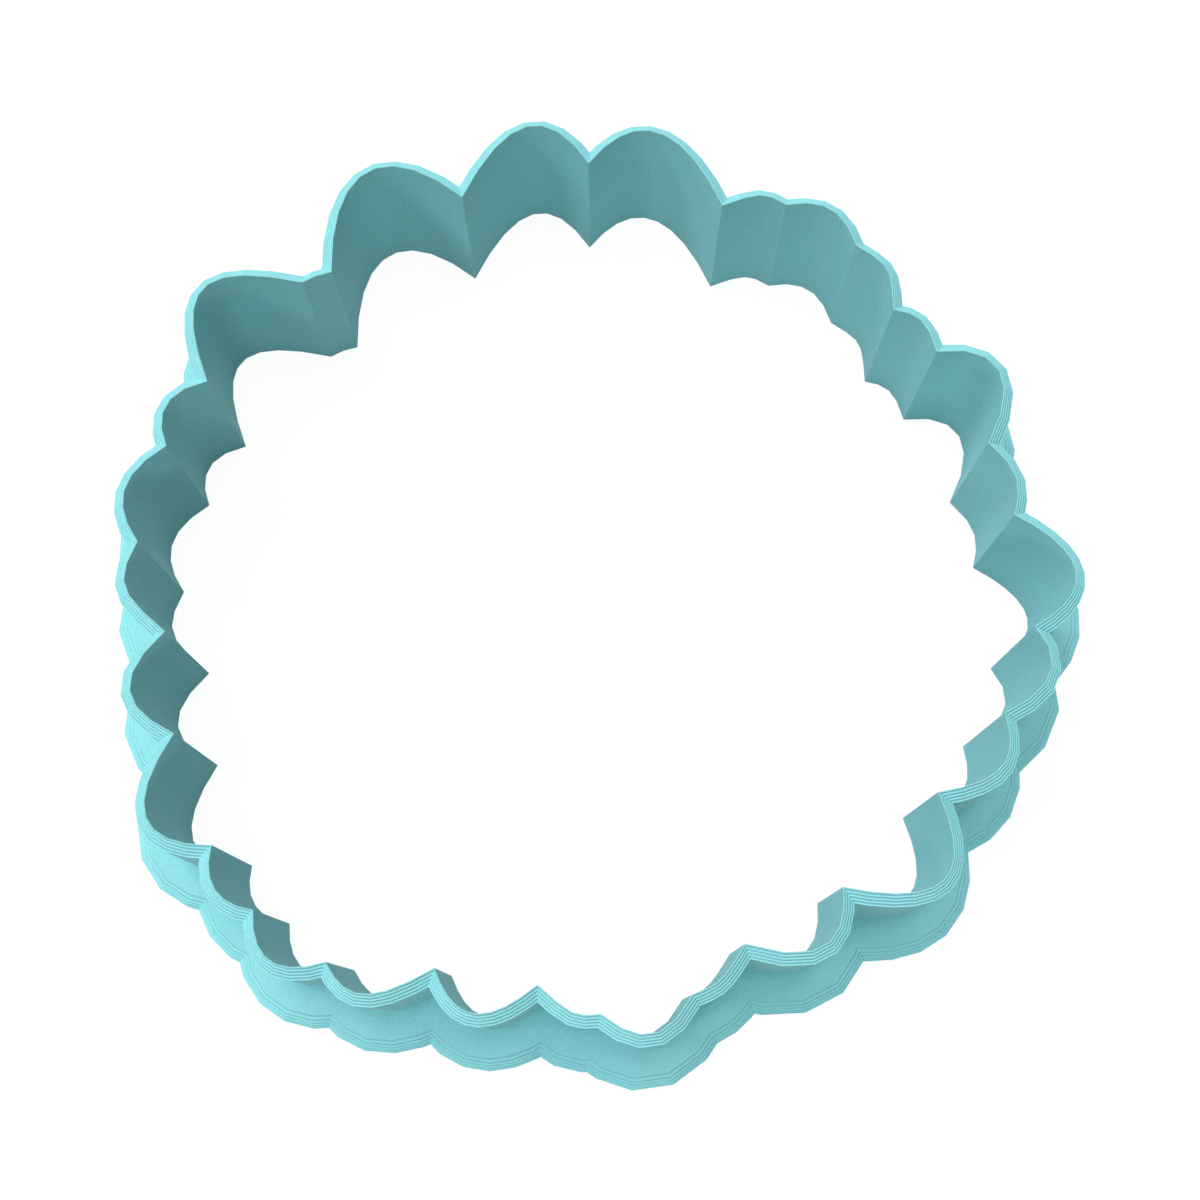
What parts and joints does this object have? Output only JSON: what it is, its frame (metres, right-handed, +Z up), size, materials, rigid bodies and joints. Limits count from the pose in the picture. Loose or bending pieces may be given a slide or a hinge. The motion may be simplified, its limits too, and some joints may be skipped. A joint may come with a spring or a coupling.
{
  "type": "cookie cutter",
  "caption": "Printed plastic cookie cutter in a blossom outline, with a wide stepped flange to press on and a wall that steps in to a thin cutting edge.",
  "frame": {"origin": "middle of the bounding box, on the flat underside of the flange", "axes": "+Z up from the flange to the cutting edge, +X to the right and -Y towards the viewer of the picture"},
  "size_m": [0.0992, 0.0978, 0.0192],
  "materials": {
    "turquoise_plastic": "matt 3-D printed plastic in pale turquoise, smooth to the eye with very fine print layers"
  },
  "bodies": {
    "root": {"flange_base": "turquoise_plastic", "flange_edge_1": "turquoise_plastic", "flange_edge_2": "turquoise_plastic", "flange_edge_3": "turquoise_plastic", "flange_edge_4": "turquoise_plastic", "flange_top": "turquoise_plastic", "cutter_wall": "turquoise_plastic", "blade_step_1": "turquoise_plastic", "blade_step_2": "turquoise_plastic", "blade_step_3": "turquoise_plastic", "blade_tip": "turquoise_plastic"}
  },
  "joints": []
}
